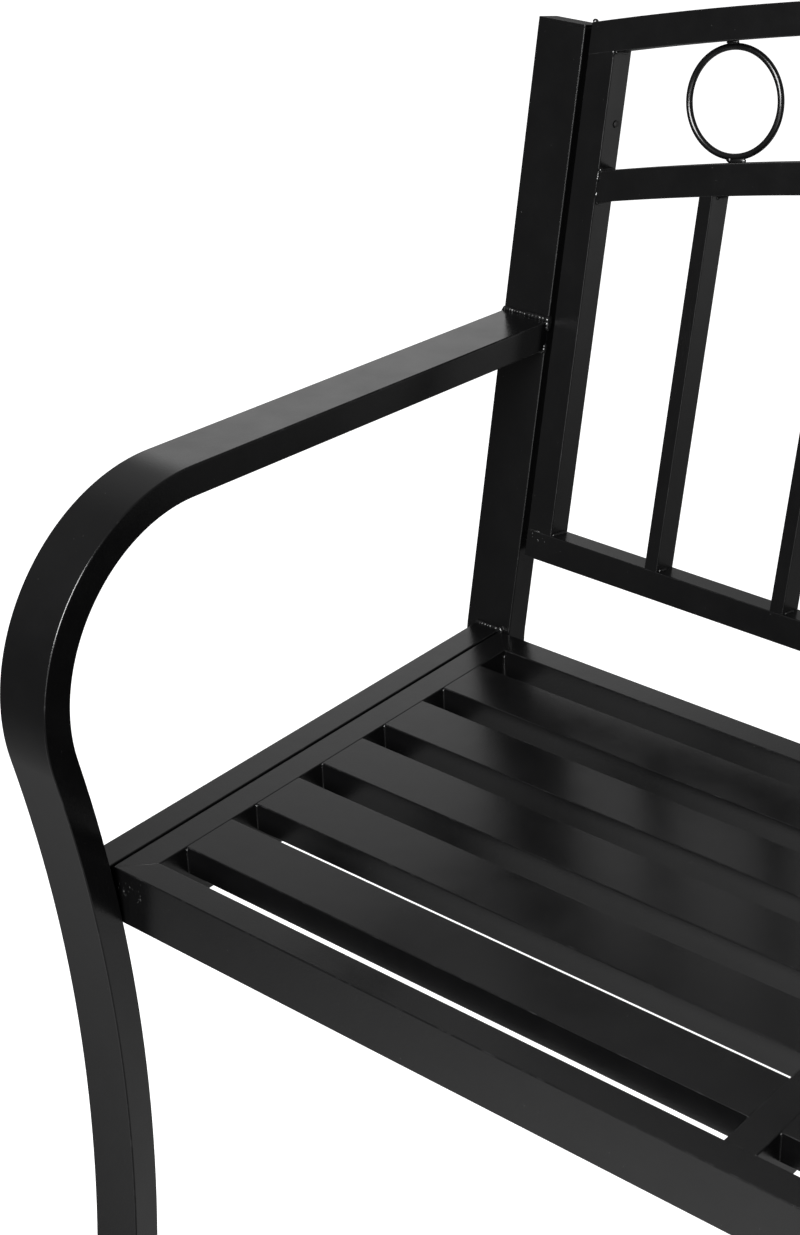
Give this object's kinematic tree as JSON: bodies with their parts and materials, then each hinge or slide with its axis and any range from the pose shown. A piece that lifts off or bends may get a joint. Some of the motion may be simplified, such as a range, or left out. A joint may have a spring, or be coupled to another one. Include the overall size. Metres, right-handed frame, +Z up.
{
  "type": "garden bench",
  "caption": "Free-standing garden bench in welded steel tube, with looped arms running into curved legs, a slatted seat and an arched back with a row of rings.",
  "frame": {"origin": "on the floor under the middle of the bench's bounding box", "axes": "+X runs along the bench to the sitter's left, +Y towards the back, +Z up"},
  "size_m": [1.392, 0.5932, 0.8961],
  "materials": {
    "powder_coated_steel": "satin black powder coat",
    "foot_plastic": "moulded, matt"
  },
  "bodies": {
    "root": {"back_bar_1": "powder_coated_steel", "back_bar_10": "powder_coated_steel", "back_bar_11": "powder_coated_steel", "back_bar_12": "powder_coated_steel", "back_bar_2": "powder_coated_steel", "back_bar_3": "powder_coated_steel", "back_bar_4": "powder_coated_steel", "back_bar_5": "powder_coated_steel", "back_bar_6": "powder_coated_steel", "back_bar_7": "powder_coated_steel", "back_bar_8": "powder_coated_steel", "back_bar_9": "powder_coated_steel", "back_left_stile": "powder_coated_steel", "back_lower_rail": "powder_coated_steel", "back_middle_rail": "powder_coated_steel", "back_right_stile": "powder_coated_steel", "back_ring_1": "powder_coated_steel", "back_ring_10": "powder_coated_steel", "back_ring_11": "powder_coated_steel", "back_ring_12": "powder_coated_steel", "back_ring_2": "powder_coated_steel", "back_ring_3": "powder_coated_steel", "back_ring_4": "powder_coated_steel", "back_ring_5": "powder_coated_steel", "back_ring_6": "powder_coated_steel", "back_ring_7": "powder_coated_steel", "back_ring_8": "powder_coated_steel", "back_ring_9": "powder_coated_steel", "back_top_rail": "powder_coated_steel", "left_arm_and_front_leg": "powder_coated_steel", "left_front_foot_plug": "foot_plastic", "left_rear_foot_plug": "foot_plastic", "left_seat_support_rail": "powder_coated_steel", "left_upright_and_rear_leg": "powder_coated_steel", "right_arm_and_front_leg": "powder_coated_steel", "right_front_foot_plug": "foot_plastic", "right_rear_foot_plug": "foot_plastic", "right_seat_support_rail": "powder_coated_steel", "right_upright_and_rear_leg": "powder_coated_steel", "seat_back_rail": "powder_coated_steel", "seat_front_rail": "powder_coated_steel", "seat_left_cross_member": "powder_coated_steel", "seat_left_end_rail": "powder_coated_steel", "seat_right_cross_member": "powder_coated_steel", "seat_right_end_rail": "powder_coated_steel", "seat_slat_1_left": "powder_coated_steel", "seat_slat_1_middle": "powder_coated_steel", "seat_slat_1_right": "powder_coated_steel", "seat_slat_2_left": "powder_coated_steel", "seat_slat_2_middle": "powder_coated_steel", "seat_slat_2_right": "powder_coated_steel", "seat_slat_3_left": "powder_coated_steel", "seat_slat_3_middle": "powder_coated_steel", "seat_slat_3_right": "powder_coated_steel", "seat_slat_4_left": "powder_coated_steel", "seat_slat_4_middle": "powder_coated_steel", "seat_slat_4_right": "powder_coated_steel", "seat_slat_5_left": "powder_coated_steel", "seat_slat_5_middle": "powder_coated_steel", "seat_slat_5_right": "powder_coated_steel"}
  },
  "joints": []
}
